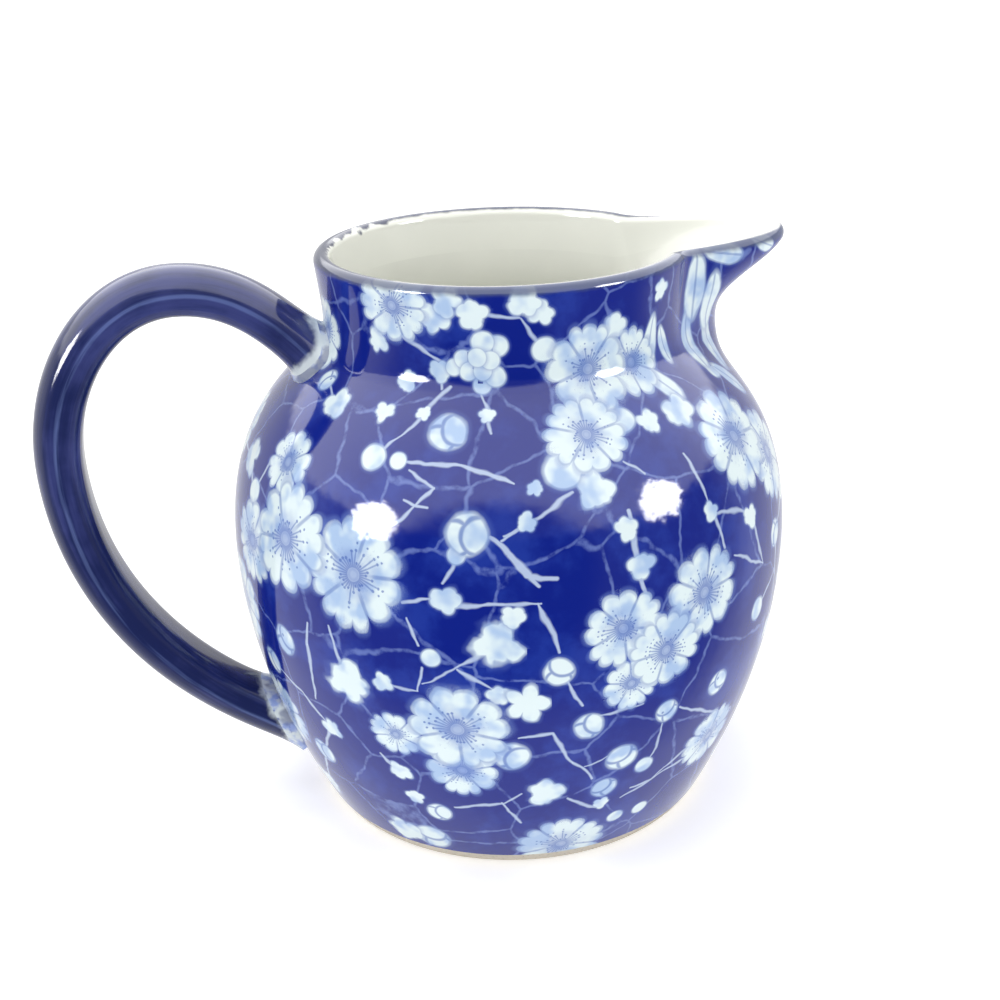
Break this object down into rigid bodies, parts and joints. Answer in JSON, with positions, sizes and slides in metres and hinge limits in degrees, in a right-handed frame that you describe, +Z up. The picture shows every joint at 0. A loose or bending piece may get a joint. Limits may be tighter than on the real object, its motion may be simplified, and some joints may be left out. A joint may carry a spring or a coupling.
{
  "type": "cream jug",
  "caption": "Small globular porcelain jug with a short neck, a drawn-out pouring lip, a loop handle and a low foot ring.",
  "frame": {"origin": "centre of the circle on which the foot ring stands, on the jug's axis", "axes": "+Z up along the jug's axis, +X towards the pouring lip, -X towards the handle; the XZ plane is the plane of symmetry"},
  "size_m": [0.1334, 0.1, 0.1024],
  "materials": {
    "printed_porcelain": "clear gloss glaze over a cobalt print of blossom",
    "bare_porcelain": "unglazed, matt",
    "cobalt_wash": "clear gloss glaze over a brushed cobalt wash",
    "luting_slip": "clear gloss glaze, faintly tinted with cobalt"
  },
  "bodies": {
    "root": {"body": "printed_porcelain", "foot_ring": "bare_porcelain", "collar": "printed_porcelain", "spout": "printed_porcelain", "handle": "cobalt_wash", "upper_joint": "luting_slip", "lower_joint": "luting_slip"}
  },
  "joints": []
}
